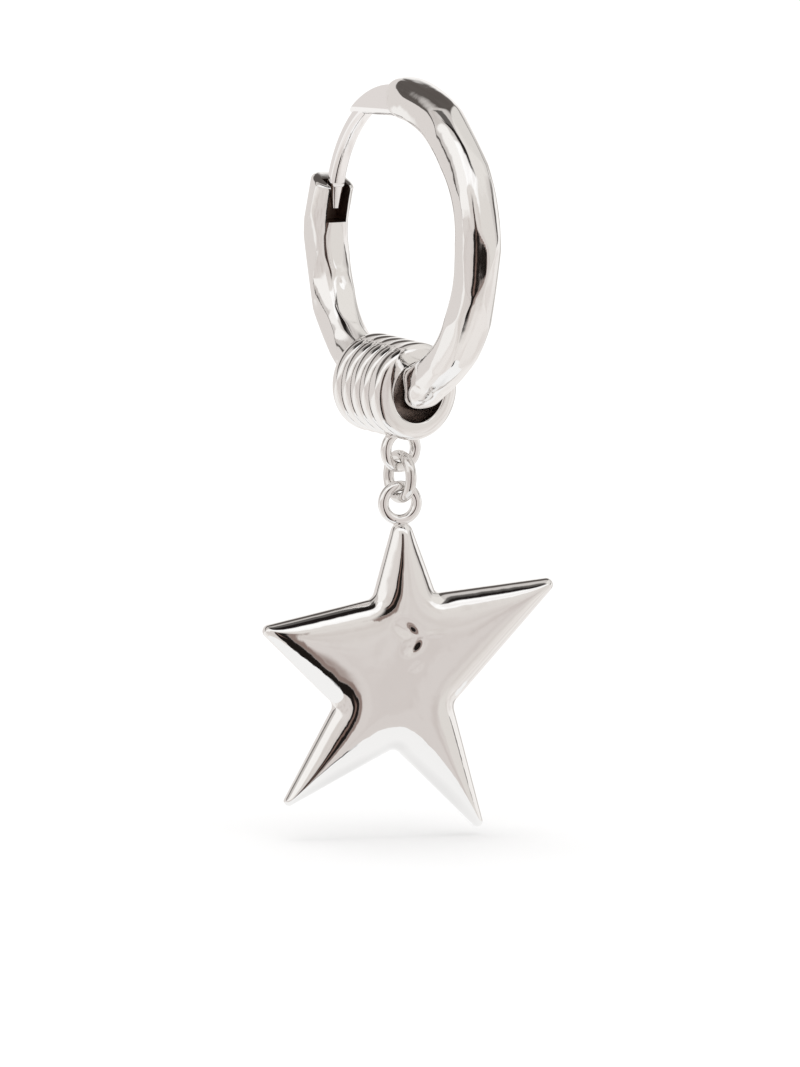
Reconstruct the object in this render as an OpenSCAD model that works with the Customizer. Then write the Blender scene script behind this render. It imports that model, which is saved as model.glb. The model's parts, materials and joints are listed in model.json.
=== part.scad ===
// Hoop charm earring: a hammered hoop closed by a hinged ear post, a ribbed bead threaded on the
// hoop, and a puffed star that hangs from the bead's loop by one jump ring.
// The hoop lies in the Y-Z plane with its front at -Y and +Z up. The origin is the seat of the ear
// lobe on the post. Angles round the hoop run from the front, over the top, to the back.

/* [Hoop] */
// Diameter of the hoop through the middle of its tube
hoop_d = 15.8; // [15:0.1:18]
// Thickness of the hoop's tube
tube_t = 2.35; // [2.25:0.05:2.5]
// Angle at which the tube ends at the hinge
hinge_end = 91; // [88:1:94]
// Angle at which the tube ends at the catch
catch_end = 157; // [154:1:159]
// Rounding of the tube's rim at the catch
rim_r = 0.25; // [0.1:0.05:0.4]
// Length of the tube's rounded nose at the hinge
nose_len = 1.3; // [0.8:0.1:1.6]
// How much the nose draws in on every side
nose_in = 0.38; // [0.2:0.02:0.42]
// Depth of a full hammer mark
hammer_depth = 0.13; // [0:0.01:0.16]

/* [Hinge] */
// Diameter of the hinge pin
pin_d = 0.6; // [0.5:0.05:0.7]
// Distance of the pin inside the tube's end
pin_inset = 0.85; // [0.8:0.05:1]
// Radius of the post's knuckle round the pin
knuckle_r = 0.62; // [0.55:0.01:0.68]
// Thickness of the post's hinge tab
tab_t = 1.15; // [1:0.05:1.25]
// Height of the tab's straight lower edge above the hoop's middle
tab_edge_z = 6.85; // [6.7:0.05:7.1]
// Running clearance round the pin
pin_fit = 0.04; // [0.03:0.01:0.08]
// Clearance between the tab and the sides of its slot
slot_gap = 0.06; // [0.05:0.01:0.1]

/* [Ear post] */
// Depth of the post wire towards the hoop's middle
post_depth = 0.85; // [0.75:0.05:0.95]
// Width of the post wire across the hoop
post_w = 0.9; // [0.75:0.05:0.95]
// Rounding of the post wire's long edges
post_corner = 0.34; // [0.2:0.02:0.36]
// Outer radius of the post's curve
post_out_r = 7.7; // [7.6:0.01:7.8]
// How far the post's top lies under the outer side of the tube
post_drop = 0.47; // [0.42:0.01:0.52]
// Length of the tapered tip
tip_len = 1.4; // [1:0.1:1.6]
// Size of the tip's blunt end
tip_d = 0.36; // [0.3:0.02:0.5]
// How far the tip leans towards the hoop's middle
tip_lean = 0.16; // [0:0.02:0.2]
// Size of the snap notch in the tip
notch_d = 0.24; // [0.1:0.02:0.3]

/* [Catch] */
// Clearance on each side of the post in the catch pocket
pocket_gap = 0.17; // [0.1:0.01:0.2]
// Gap between the post and the pocket's outer wall where it enters
seat_gap = 0.1; // [0.06:0.01:0.15]
// Length of pocket left free past the post's tip
pocket_run = 0.85; // [0.8:0.05:1.2]

/* [Ribbed bead] */
// Diameter of the bead over its ribs
bead_d = 5.4; // [5.2:0.05:5.8]
// Clearance between the hoop's tube and the bead's hole, all in all
bead_play = 0.98; // [0.9:0.01:1.1]
// Number of round ribs behind the front ring
rib_count = 4; // [3:1:5]
// Length of each rib along the bead
rib_pitch = 0.87; // [0.7:0.01:0.9]
// Depth of the grooves between the ribs
groove_depth = 0.24; // [0.15:0.01:0.3]
// Length of the plain front ring
ring_len = 1.15; // [1:0.05:1.3]
// Angle of the bead behind the hoop's lowest point
bead_back = 4.5; // [0:0.5:6]
// Turn of the bead about its hanging line
bead_turn = 4; // [0:0.5:5]

/* [Loop and jump ring] */
// Thickness of the wire of the loop, the jump ring and the star's ring
wire_d = 0.6; // [0.5:0.02:0.62]
// Diameter of the bead's loop through the middle of its wire
loop_d = 1.95; // [1.85:0.05:2.1]
// How far the loop's wire is let into the bead
loop_sink = 0.33; // [0.26:0.01:0.5]
// Distance of the loop in front of the bead's middle
loop_forward = 0.75; // [0.6:0.01:1]
// Diameter of the jump ring through the middle of its wire
link_d = 2.34; // [2.2:0.02:2.5]
// Gap between wires that hang in each other
hang_gap = 0.05; // [0.04:0.01:0.08]

/* [Star] */
// Width of the star from tip to tip
star_w = 16.4; // [15:0.1:18]
// Height of the star
star_h = 16.6; // [15:0.1:18]
// Thickness of the star at its middle
star_t = 2.5; // [2:0.1:3]
// Width of the rounded shoulder along the star's edges
shoulder_w = 1.5; // [1.2:0.1:1.9]
// Turn of the star's face from the front towards the left
star_turn = 16; // [0:1:20]
// Diameter of the star's ring through the middle of its wire
star_ring_d = 1.86; // [1.8:0.02:2]

/* [Hidden] */
silver = "silver";
bright_silver = "gainsboro";
fine = 48;
cut_over = 1;

hoop_r = hoop_d / 2;
tube_r = tube_t / 2;
wire_r = wire_d / 2;
hang_step = wire_d + hang_gap;

// A point of the hoop's plane, as [Y, Z], at a distance and an angle from the hoop's middle.
function on_hoop(reach, angle) = [-reach * cos(angle), reach * sin(angle)];
function turn_x(p, a) = [p.x, p.y * cos(a) - p.z * sin(a), p.y * sin(a) + p.z * cos(a)];
function turn_z(p, a) = [p.x * cos(a) - p.y * sin(a), p.x * sin(a) + p.y * cos(a), p.z];

// The pin lies on the tube's middle line, just inside its end.
pin_angle = hinge_end - pin_inset / hoop_r * 180 / PI;
pin_at = on_hoop(hoop_r, pin_angle);

// The post is an arc round a middle of its own. It leaves the hinge near the tube's outer side and
// comes down inside the catch.
post_forward = 0.1;
post_mid = [-post_forward, hoop_r + tube_r - post_drop - post_out_r];
post_mid_r = post_out_r - post_depth / 2;
function on_post(reach, angle) = post_mid + on_hoop(reach, angle);
// Angle round the post's own middle of a point at an angle round the hoop.
function post_reach(r, hoop_angle) =
    let (way = on_hoop(1, hoop_angle), c = way * post_mid)
    c + sqrt(c * c - post_mid * post_mid + r * r);
function post_angle(hoop_angle) =
    let (p = on_hoop(post_reach(post_mid_r, hoop_angle), hoop_angle) - post_mid)
    atan2(p[1], -p[0]);

// The tip starts to narrow at the mouth of the catch.
taper_angle = post_angle(catch_end);
tip_own_angle = taper_angle + tip_len / post_mid_r * 180 / PI;
tip_at = on_post(post_mid_r - tip_lean, tip_own_angle);
tip_hoop_angle = atan2(tip_at[1], -tip_at[0]);

// The catch pocket's outer wall stands clear of the post where the post enters it.
pocket_wall_r = post_reach(post_out_r, catch_end) + seat_gap;
pocket_end = tip_hoop_angle + pocket_run / hoop_r * 180 / PI;
pocket_w = post_w + 2 * pocket_gap;

// The ear lobe sits half way along the open stretch of the post.
tab_low_angle = 180 - asin((tab_edge_z - post_mid[1]) / post_mid_r);
seat_at = on_post(post_mid_r, (tab_low_angle + taper_angle) / 2);

// Hammer marks: angle round the hoop, angle round the tube from its outer side towards +X,
// half length round the hoop, half width round the tube, share of a full mark. A share under 0
// is a place where the metal swells.
mark_along = 0;
mark_around = 1;
mark_len = 2;
mark_wide = 3;
mark_share = 4;
HAMMER_MARKS = [
    [70, -20, 14, 60, 1.0],
    [-74, -14, 12, 62, -1.4],
    [62, -100, 16, 46, 0.6],
    [44, 30, 13, 52, 0.9],
    [36, -60, 15, 40, 0.8],
    [20, -118, 18, 40, 0.7],
    [12, 6, 14, 46, 1.0],
    [2, -52, 15, 34, 1.0],
    [-14, 44, 14, 50, 0.9],
    [-16, -96, 16, 40, 0.8],
    [-32, -14, 14, 50, 1.0],
    [-40, -66, 13, 36, 0.9],
    [-48, -128, 16, 40, 0.6],
    [-58, 40, 15, 56, 0.8],
    [50, 150, 18, 50, 0.6],
    [18, 110, 16, 46, 0.9],
    [-12, 160, 18, 44, 0.6],
    [-38, 112, 15, 46, 0.9],
    [-66, 132, 15, 46, 0.6],
    [-90, 10, 15, 60, 0.6],
    [-92, 104, 14, 46, 0.7],
    [-92, -96, 14, 46, 0.7],
    [-114, -46, 14, 50, 0.9],
    [-118, 66, 15, 52, 0.9],
    [-122, -118, 13, 36, 0.8],
    [-134, 0, 15, 54, 1.0],
    [-140, 126, 16, 46, 0.8],
    [-142, -78, 13, 38, 0.9],
    [-150, 180, 15, 38, 0.8],
    [-158, -124, 14, 34, 0.7],
    [-160, 46, 15, 56, 1.0],
    [-166, -46, 14, 44, 0.9],
    [-176, -92, 13, 38, 0.8],
    [-178, 168, 16, 40, 0.7],
    [-184, 100, 14, 46, 0.9],
    [-188, 6, 14, 56, 0.9],
    [-192, -132, 12, 34, 0.6],
    [-198, -60, 12, 40, 0.8],
];

// The tube's section is a soft square, and each mark presses a shallow flat into it.
section_power = 2.5;
section_sides = 32;
hoop_step = 3;
mark_edge = 1.5;
deepest_share = 1.1;
function wrap(a) = a - 360 * round(a / 360);
function soft_square(a) =
    pow(pow(abs(cos(a)), section_power) + pow(abs(sin(a)), section_power), -1 / section_power);
function mark_press(m, along, around) =
    let (q = pow((along - m[mark_along]) / m[mark_len], 2)
             + pow(wrap(around - m[mark_around]) / m[mark_wide], 2))
    q >= 1 ? 0 : m[mark_share] * pow(1 - q, mark_edge);
function pressed(along, around) =
    min(deepest_share, sum([for (m = HAMMER_MARKS) mark_press(m, along, around)]));
function sum(v, k = 0) = k >= len(v) ? 0 : v[k] + sum(v, k + 1);
function tube_reach(along, around, inset) =
    tube_r * soft_square(around) - inset - hammer_depth * pressed(along, around);

// Rows of the tube, each as [angle round the hoop, inset of the rounded end].
end_steps = 5;
function arc_angle(length) = length / hoop_r * 180 / PI;
function end_rows(end, way, length, in) =
    [for (k = [0:end_steps])
        let (a = 90 * k / end_steps)
        [end - way * arc_angle(length) * (1 - cos(a)), in * (1 - sin(a))]];
tube_from = catch_end - 360;
body_from = tube_from + arc_angle(rim_r);
body_to = hinge_end - arc_angle(nose_len);
body_rows = round((body_to - body_from) / hoop_step);
function reversed(v) = [for (k = [len(v) - 1:-1:0]) v[k]];
TUBE_ROWS = concat(
    end_rows(tube_from, -1, rim_r, rim_r),
    [for (k = [1:body_rows - 1]) [body_from + (body_to - body_from) * k / body_rows, 0]],
    reversed(end_rows(hinge_end, 1, nose_len, nose_in)));

function tube_point(row, around) =
    let (reach = tube_reach(row[0], around, row[1]),
         p = on_hoop(hoop_r + reach * cos(around), row[0]))
    [reach * sin(around), p[0], p[1]];

// A closed skin over rows of points, one row after the other, with a flat cap at each end.
module skin(rows) {
    n = len(rows[0]);
    last = len(rows) - 1;
    points = [for (row = rows) for (p = row) p];
    sides = [for (r = [0:last - 1]) for (k = [0:n - 1])
        let (a = r * n + k, b = r * n + (k + 1) % n)
        each [[a, b, b + n], [a, b + n, a + n]]];
    first_cap = [[for (k = [n - 1:-1:0]) k]];
    last_cap = [[for (k = [0:n - 1]) last * n + k]];
    polyhedron(points, concat(sides, first_cap, last_cap));
}

module hammered_tube() {
    skin([for (row = TUBE_ROWS)
        [for (k = [0:section_sides - 1]) tube_point(row, -360 * k / section_sides)]]);
}

// Sweeps a flat shape, with X as reach and Y as width, round an axis along X between two angles.
module sweep_round(from, to) {
    rotate([90, 0, 90])
        rotate([0, 0, 180 - to])
            rotate_extrude(angle = to - from, $fn = 4 * fine)
                children();
}

// A rod along X with its middle at a point of the hoop's plane.
module cross_rod(at, r, length) {
    translate([0, at[0], at[1]])
        rotate([0, 90, 0])
            cylinder(r = r, h = length, center = true, $fn = fine);
}

// A flat shape in the hoop's plane, drawn as [Y, Z], made as thick as asked across the hoop.
module across_hoop(thickness) {
    rotate([90, 0, 90])
        linear_extrude(thickness, center = true)
            children();
}

// The hinge slot is open at the tube's end and towards the hoop's middle.
slot_w = tab_t + 2 * slot_gap;
slot_top_z = pin_at[1] + knuckle_r + slot_gap;
slot_front_y = pin_at[0] - knuckle_r - slot_gap;
module hinge_slot() {
    across_hoop(slot_w)
        translate([slot_front_y, hoop_r - tube_r - cut_over])
            square([tube_t + 2 * cut_over, slot_top_z - hoop_r + tube_r + cut_over]);
}

// The pocket is open at the tube's end and towards the hoop's middle, and its wall is curved.
pocket_steps = 8;
pocket_mouth = catch_end - arc_angle(cut_over);
function hoop_arc(reach, from, to) =
    [for (k = [0:pocket_steps]) on_hoop(reach, from + (to - from) * k / pocket_steps)];
module catch_pocket() {
    across_hoop(pocket_w)
        polygon(concat(hoop_arc(pocket_wall_r, pocket_mouth, pocket_end),
                       hoop_arc(hoop_r - tube_r - cut_over, pocket_end, pocket_mouth)));
}

pin_hole_fit = 0.02;
module hoop() {
    color(silver)
        difference() {
            hammered_tube();
            hinge_slot();
            catch_pocket();
            cross_rod(pin_at, pin_d / 2 + pin_hole_fit, tube_t + 2 * cut_over);
        }
}

// The pin ends just inside the tube's two sides.
pin_recess = 0.06;
pin_len = tube_t - 2 * pin_recess;
module hinge_pin() {
    color(bright_silver)
        cross_rod(pin_at, pin_d / 2, pin_len);
}

// The outline of a rectangle with round corners, as [reach, width] points.
corner_steps = 4;
function round_box(low, high, width, r) =
    [for (c = [[high - r, width / 2 - r, 0], [low + r, width / 2 - r, 90],
               [low + r, r - width / 2, 180], [high - r, r - width / 2, 270]])
        for (k = [0:corner_steps])
            let (a = c[2] + 90 * k / corner_steps)
            [c[0] + r * cos(a), c[1] + r * sin(a)]];
tab_gap = 0.12;
tab_front_y = on_hoop(hoop_r, hinge_end)[0] + tab_gap;
// The wire starts this far inside the tab.
tab_bite = 16;

module at_post_mid() {
    translate([0, post_mid[0], post_mid[1]])
        children();
}

module post_wire() {
    at_post_mid()
        sweep_round(tab_low_angle - tab_bite, taper_angle)
            polygon(round_box(post_out_r - post_depth, post_out_r, post_w, post_corner));
}

// The tab is the part of the post's disc above its straight lower edge.
module post_tab() {
    intersection() {
        at_post_mid()
            rotate([0, 90, 0])
                cylinder(r = post_out_r, h = tab_t, center = true, $fn = 4 * fine);
        across_hoop(tab_t + cut_over)
            translate([tab_front_y, tab_edge_z])
                square(post_out_r);
    }
}

// The tongue joins the tab to its knuckle inside the slot.
module post_tongue() {
    cross_rod(pin_at, knuckle_r, tab_t);
    across_hoop(tab_t)
        translate([pin_at[0], pin_at[1] - knuckle_r])
            square([tab_front_y - pin_at[0] + tab_gap, 2 * knuckle_r]);
}

// A thin slice across the post's curve, drawn with X across the hoop and -Y as reach.
tip_slice = 0.02;
module across_post(angle) {
    at_post_mid()
        rotate([-angle, 0, 0])
            linear_extrude(tip_slice)
                children();
}

// The tip narrows from just under the wire's own section to a small blunt end.
tip_overlap = 1;
tip_step = 0.01;
TIP_START = round_box(post_out_r - post_depth + tip_step, post_out_r - tip_step,
                      post_w - 2 * tip_step, post_corner);
module post_tip_taper() {
    hull() {
        across_post(taper_angle - tip_overlap)
            polygon([for (p = TIP_START) [p[1], -p[0]]]);
        across_post(tip_own_angle)
            translate([0, tip_lean - post_mid_r])
                circle(d = tip_d, $fn = fine / 2);
    }
}

// The snap notch crosses the inner side of the wire where the tip begins.
notch_at = on_post(post_out_r - post_depth, taper_angle);
module ear_post() {
    color(bright_silver)
        difference() {
            union() {
                post_wire();
                post_tab();
                post_tongue();
                post_tip_taper();
            }
            cross_rod(pin_at, pin_d / 2 + pin_fit, tab_t + cut_over);
            cross_rod(notch_at, notch_d / 2, post_w + cut_over);
        }
}

// The bead hangs on the tube: its hole rests just clear of the tube's upper side, at the two
// mouths of the hole, because the tube curves up on both sides of it.
bead_len = rib_count * rib_pitch + ring_len;
hole_r = tube_r + bead_play / 2;
seat_play = 0.06;
tube_rise = hoop_r - tube_r - sqrt(pow(hoop_r - tube_r, 2) - pow(bead_len / 2, 2));
bead_drop = hole_r - tube_r - tube_rise - seat_play;
bead_r = bead_d / 2;

// Round ribs and grooves, then the bull-nosed front ring, as [radius, place along the bead].
rib_steps = 8;
nose_steps = 10;
mouth_r = 0.12;
rib_round = rib_pitch / 2;
function rib_points(k) =
    [for (s = [0:rib_steps])
        let (a = 180 * s / rib_steps)
        [bead_r - groove_depth * (1 - sin(a)), (k + 0.5) * rib_pitch - rib_round * cos(a)]];
nose_power = 0.8;
ring_mid = bead_len - ring_len / 2;
function nose(a) = [sign(cos(a)) * pow(abs(cos(a)), nose_power), pow(abs(sin(a)), nose_power)];
NOSE_POINTS =
    [for (s = [1:nose_steps])
        let (a = 180 - 90 * s / nose_steps, q = nose(a))
        [bead_r - groove_depth * (1 - q[1]), ring_mid + ring_len / 2 * q[0]]];
wall = bead_r - hole_r;
FRONT_POINTS =
    [for (s = [1:nose_steps])
        let (a = 90 * s / nose_steps)
        [hole_r + mouth_r + (wall - mouth_r) * pow(cos(a), nose_power),
         ring_mid + ring_len / 2 * pow(sin(a), nose_power)]];
BEAD_OUTLINE = concat(
    [[hole_r, mouth_r], [hole_r + mouth_r, 0], [bead_r - groove_depth - mouth_r, 0]],
    [for (k = [0:rib_count - 1]) each rib_points(k)],
    NOSE_POINTS,
    FRONT_POINTS,
    [[hole_r, bead_len - mouth_r]]);

loop_r = loop_d / 2;
loop_mid_z = -(bead_r - loop_sink + loop_r);

module wire_ring(mid_r) {
    rotate_extrude($fn = fine)
        translate([mid_r, 0])
            circle(r = wire_r, $fn = fine / 2);
}

// Carries the bead from the hoop's middle to its place. Its front faces -Y.
module at_bead() {
    rotate([bead_back, 0, 0])
        translate([0, 0, -(hoop_r + bead_drop)])
            rotate([0, 0, bead_turn])
                children();
}

module ribbed_bead() {
    color(silver)
        at_bead() {
            difference() {
                union() {
                    translate([0, bead_len / 2, 0])
                        rotate([90, 0, 0])
                            rotate_extrude($fn = 2 * fine)
                                polygon(BEAD_OUTLINE);
                    translate([0, -loop_forward, loop_mid_z])
                        rotate([90, 0, 0])
                            wire_ring(loop_r);
                }
                rotate([90, 0, 0])
                    cylinder(r = hole_r, h = bead_len + cut_over, center = true, $fn = 2 * fine);
            }
        }
}

// Middle of the wire at the loop's lowest point, from the hoop's middle.
loop_low_at = turn_x(turn_z([0, -loop_forward, loop_mid_z - loop_r], bead_turn)
                     - [0, 0, hoop_r + bead_drop], bead_back);
link_mid_at = loop_low_at + [0, 0, hang_step - link_d / 2];
link_low_at = link_mid_at - [0, 0, link_d / 2];
star_ring_at = link_low_at + [0, 0, hang_step - star_ring_d / 2];

module jump_ring() {
    color(silver)
        translate(link_mid_at)
            rotate([0, 90, 0])
                wire_ring(link_d / 2);
}

// Round corners of the star's outline, clockwise from the top: place across as a share of the
// star's width and down as a share of its height, from its hanging point, then the radius as a
// share of the width. A tip has a positive radius and a notch a negative one.
STAR_CORNERS = [
    [0.006, -0.040, 0.038],
    [0.137, -0.217, -0.022],
    [0.506, -0.223, 0.023],
    [0.225, -0.618, -0.040],
    [0.268, -1.002, 0.018],
    [-0.026, -0.789, -0.034],
    [-0.383, -0.914, 0.016],
    [-0.259, -0.605, -0.026],
    [-0.448, -0.352, 0.023],
    [-0.118, -0.228, -0.030],
];
star_middle = [-0.012 * star_w, -0.5 * star_h];
tip_steps = 6;
edge_steps = 6;

function corner_at(k) =
    let (c = STAR_CORNERS[(k + len(STAR_CORNERS)) % len(STAR_CORNERS)])
    [c[0] * star_w, c[1] * star_h, c[2] * star_w];
// Direction of the straight edge that leaves corner k and touches the next one.
function edge_angle(k) =
    let (p = corner_at(k), q = corner_at(k + 1), d = [q[0] - p[0], q[1] - p[1]])
    atan2(d[1], d[0]) - asin((p[2] - q[2]) / norm(d));
function corner_point(c, a) = [c[0] - c[2] * sin(a), c[1] + c[2] * cos(a)];
function corner_arc(k) =
    let (a = edge_angle(k - 1), b = a + wrap(edge_angle(k) - a))
    [for (s = [0:tip_steps]) corner_point(corner_at(k), a + (b - a) * s / tip_steps)];
function edge_points(k) =
    let (a = edge_angle(k), p = corner_point(corner_at(k), a),
         q = corner_point(corner_at(k + 1), a))
    [for (s = [1:edge_steps - 1]) p + (q - p) * s / edge_steps];
STAR_OUTLINE = [for (k = [0:len(STAR_CORNERS) - 1]) each concat(corner_arc(k), edge_points(k))];

// Distance from a point of the star's face to its outline.
function to_segment(p, a, b) =
    let (d = b - a, t = max(0, min(1, (p - a) * d / (d * d))))
    norm(p - a - t * d);
function to_outline(p) =
    let (n = len(STAR_OUTLINE))
    min([for (k = [0:n - 1]) to_segment(p, STAR_OUTLINE[k], STAR_OUTLINE[(k + 1) % n])]);

// Half thickness: a rounded shoulder along the edge, and a little less towards the tips.
tip_thinning = 0.27;
function half_thickness(p) =
    let (e = 1 - min(1, to_outline(p) / shoulder_w), reach = norm(p - star_middle))
    star_t / 2 * sqrt(1 - e * e) * (1 - tip_thinning * pow(reach / (star_w / 2), 2));

// Rings of the face as shares of the way from the star's middle to its outline.
FACE_SHARES = [0.16, 0.34, 0.52, 0.67, 0.78, 0.86, 0.92, 0.955, 0.98, 0.993];
outline_n = len(STAR_OUTLINE);
function face_ring(share, side) =
    [for (q = STAR_OUTLINE)
        let (p = star_middle + share * (q - star_middle))
        [p[0], -side * half_thickness(p), p[1]]];

module star_body() {
    rings = concat(
        [for (s = FACE_SHARES) face_ring(s, 1)],
        [[for (q = STAR_OUTLINE) [q[0], 0, q[1]]]],
        [for (s = reversed(FACE_SHARES)) face_ring(s, -1)]);
    skin_n = len(rings) * outline_n;
    front_pole = [star_middle[0], -half_thickness(star_middle), star_middle[1]];
    back_pole = [star_middle[0], half_thickness(star_middle), star_middle[1]];
    points = concat([for (ring = rings) each ring], [front_pole, back_pole]);
    last = (len(rings) - 1) * outline_n;
    sides = [for (r = [0:len(rings) - 2]) for (k = [0:outline_n - 1])
        let (a = r * outline_n + k, b = r * outline_n + (k + 1) % outline_n)
        each [[b, a, a + outline_n], [b, a + outline_n, b + outline_n]]];
    front = [for (k = [0:outline_n - 1]) [k, (k + 1) % outline_n, skin_n]];
    back = [for (k = [0:outline_n - 1]) [last + (k + 1) % outline_n, last + k, skin_n + 1]];
    polyhedron(points, concat(sides, front, back));
}

// The star's ring is let into the top of its upper arm.
ring_sink = 0.24;
star_top_at = star_ring_at - [0, 0, star_ring_d / 2 + wire_r - ring_sink];
module star() {
    color(silver) {
        translate(star_top_at)
            rotate([0, 0, -star_turn])
                star_body();
        translate(star_ring_at)
            rotate([0, 0, -star_turn])
                rotate([90, 0, 0])
                    wire_ring(star_ring_d / 2);
    }
}

// Moves everything from the hoop's middle so that the ear's seat is the origin.
module from_seat() {
    translate([0, -seat_at[0], -seat_at[1]])
        children();
}

from_seat() hoop();
from_seat() hinge_pin();
from_seat() ear_post();
from_seat() ribbed_bead();
from_seat() jump_ring();
from_seat() star();
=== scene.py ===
"""Looks of the hoop charm earring: hammered hoop, hinged ear post, ribbed bead, jump ring and star.

Pieces are modelled in millimetres round a middle of their own, then carried to their place in the
frame in metres. Angles round the hoop run from the front (-Y), over the top, to the back.
"""
import json
import math
from types import SimpleNamespace

import bmesh
import bpy
import numpy as np
from bpy.props import FloatProperty, FloatVectorProperty, IntProperty, PointerProperty
from bpy.types import Operator, Panel, PropertyGroup
from mathutils import Matrix, Vector


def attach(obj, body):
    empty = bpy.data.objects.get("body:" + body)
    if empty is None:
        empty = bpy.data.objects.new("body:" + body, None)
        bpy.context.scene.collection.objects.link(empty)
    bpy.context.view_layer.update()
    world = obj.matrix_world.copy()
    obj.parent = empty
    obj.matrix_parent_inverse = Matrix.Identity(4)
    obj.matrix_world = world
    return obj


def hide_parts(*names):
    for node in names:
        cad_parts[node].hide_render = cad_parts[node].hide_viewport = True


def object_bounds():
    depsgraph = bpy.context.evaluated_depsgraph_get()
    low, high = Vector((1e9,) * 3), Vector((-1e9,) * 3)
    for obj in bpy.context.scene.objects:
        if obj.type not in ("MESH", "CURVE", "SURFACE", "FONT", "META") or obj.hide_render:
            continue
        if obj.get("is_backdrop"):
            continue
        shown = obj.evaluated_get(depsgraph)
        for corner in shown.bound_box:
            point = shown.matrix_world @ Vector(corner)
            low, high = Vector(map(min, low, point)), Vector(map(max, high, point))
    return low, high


bl_info = {
    "name": "Hoop charm earring",
    "version": (1, 0, 0),
    "blender": (4, 5, 0),
    "location": "3D View > Sidebar > Earring",
    "description": "Builds the polished silver pieces of a hoop charm earring and its white studio",
    "category": "Object",
}

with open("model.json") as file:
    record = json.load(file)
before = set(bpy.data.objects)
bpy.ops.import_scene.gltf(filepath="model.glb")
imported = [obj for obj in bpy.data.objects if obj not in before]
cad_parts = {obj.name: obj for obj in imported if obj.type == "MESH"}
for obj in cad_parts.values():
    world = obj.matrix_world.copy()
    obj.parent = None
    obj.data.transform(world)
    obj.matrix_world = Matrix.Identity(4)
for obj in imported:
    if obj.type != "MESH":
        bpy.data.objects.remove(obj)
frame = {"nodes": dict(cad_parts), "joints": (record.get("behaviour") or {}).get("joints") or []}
MM = 0.001
JOINTS = {j["name"]: j for j in frame["joints"]}


def joint_point(name):
    """Place of a joint of the frame, in millimetres."""
    return Vector(JOINTS[name]["pos_m"]) / MM


HOOP_MIDDLE = joint_point("bead_slide")
PIN_AT = joint_point("post_hinge")
LINK_LOW = joint_point("star_swing")
STAR_NORMAL = Vector(JOINTS["star_swing"]["axis"]).normalized()


# Sizes and colours.

def linear(code):
    """Turns an sRGB hex value to the linear values that a shader takes."""
    parts = [int(code[k:k + 2], 16) / 255 for k in (0, 2, 4)]
    return tuple(c / 12.92 if c <= 0.04045 else ((c + 0.055) / 1.055) ** 2.4 for c in parts) + (1,)


def length_prop(name, mm, description):
    """A length's property, given in millimetres and kept in metres."""
    return FloatProperty(name=name, description=description, default=mm * MM, unit="LENGTH")


def angle_prop(name, degrees, description):
    """An angle's property, given in degrees and kept in radians."""
    return FloatProperty(name=name, description=description, default=math.radians(degrees),
                         unit="ROTATION")


def colour_prop(name, code, description):
    """A colour's property, given as an sRGB hex value and kept linear."""
    return FloatVectorProperty(name=name, description=description, default=linear(code)[:3],
                               subtype="COLOR", min=0, max=1)


class HoopSettings(PropertyGroup):
    """Sizes of the hammered hoop."""
    tube: length_prop("Tube", 2.35, "Thickness of the tube")
    hinge_end: angle_prop("Hinge end", 91, "Angle of the hinge end")
    catch_end: angle_prop("Catch end", 157, "Angle of the catch end")
    nose_len: length_prop("Nose", 1.3, "Length of the rounded hinge end")
    nose_in: length_prop("Nose inset", 0.38, "How far the hinge end draws in")
    rim: length_prop("Rim", 0.25, "Rounding of the rim at the catch")
    hammer: length_prop("Hammer depth", 0.13, "Depth of a full hammer mark")
    slot_gap: length_prop("Slot gap", 0.06, "Clearance beside the hinge tab")


class PostSettings(PropertyGroup):
    """Sizes of the ear post."""
    out_r: length_prop("Outer radius", 7.7, "Outer radius of the post's curve")
    depth: length_prop("Depth", 0.85, "Depth of the wire in the hoop's plane")
    width: length_prop("Width", 0.9, "Width of the wire across the hoop")
    corner: length_prop("Corner", 0.34, "Rounding of the wire's long edges")
    drop: length_prop("Drop", 0.47, "How far its top lies under the tube's outer side")
    tip_len: length_prop("Tip", 1.4, "Length of the tapered tip")
    tip_d: length_prop("Tip end", 0.36, "Size of the blunt end")
    tip_lean: length_prop("Tip lean", 0.16, "How far the tip leans inwards")
    notch: length_prop("Notch", 0.24, "Size of the snap notch")
    tab: length_prop("Tab", 1.15, "Thickness of the hinge tab")
    tab_edge: length_prop("Tab edge", 6.85, "Height of the tab's lower edge")
    knuckle: length_prop("Knuckle", 0.62, "Radius of the knuckle round the pin")


class BeadSettings(PropertyGroup):
    """Sizes of the ribbed bead."""
    across: length_prop("Diameter", 5.4, "Diameter over the ribs")
    play: length_prop("Play", 0.98, "Clearance on the tube, all in all")
    ribs: IntProperty(name="Ribs", description="Number of ribs behind the front ring", default=4)
    pitch: length_prop("Rib pitch", 0.87, "Length of a rib along the bead")
    groove: length_prop("Groove", 0.24, "Depth of the grooves")
    ring_len: length_prop("Front ring", 1.15, "Length of the plain front ring")
    back: angle_prop("Back", 4.5, "Angle behind the hoop's lowest point")
    turn: angle_prop("Turn", 4.0, "Turn about its hanging line")


class WireSettings(PropertyGroup):
    """Sizes of the loop, the jump ring and the star's ring."""
    wire: length_prop("Wire", 0.6, "Thickness of the wire")
    gap: length_prop("Gap", 0.05, "Gap between wires that hang in each other")
    loop: length_prop("Loop", 1.95, "Loop, through the middle of its wire")
    link: length_prop("Jump ring", 2.34, "Jump ring, through the middle of its wire")
    star_ring: length_prop("Star ring", 1.86, "Star's ring, through its wire's middle")


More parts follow.
